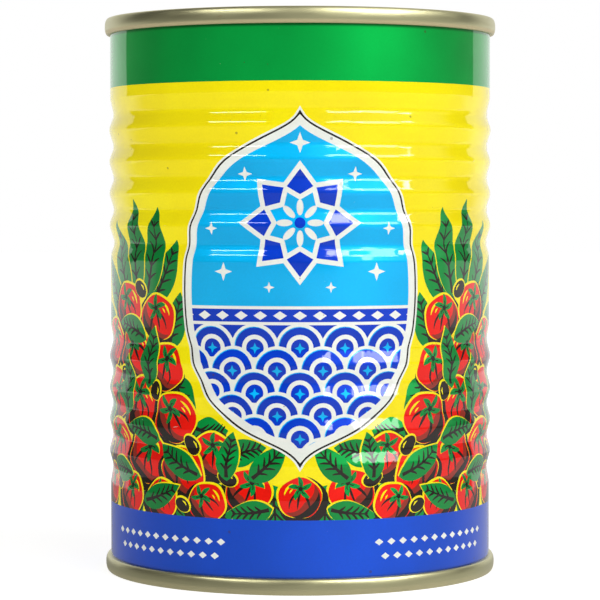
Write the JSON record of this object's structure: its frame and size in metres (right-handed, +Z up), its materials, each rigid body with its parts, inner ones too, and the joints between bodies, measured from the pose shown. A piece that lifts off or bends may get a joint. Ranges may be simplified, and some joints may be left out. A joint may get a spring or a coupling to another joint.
{
  "type": "food can",
  "caption": "Shut cylindrical tinplate food can with two groups of rolled beads in its printed wall and a double-seamed end top and bottom.",
  "frame": {"origin": "centre of the circle that the lower seam's crown stands on", "axes": "+Z up along the can's axis; -Y faces the front of the print"},
  "size_m": [0.0752, 0.0752, 0.106],
  "materials": {
    "printed_wall": "litho-printed gloss lacquer on tinplate: green band, yellow field, blue band",
    "tinplate": "bright tinplate under a thin warm lacquer"
  },
  "bodies": {
    "root": {"can_body": "printed_wall", "top_end": "tinplate", "bottom_end": "tinplate"}
  },
  "joints": []
}
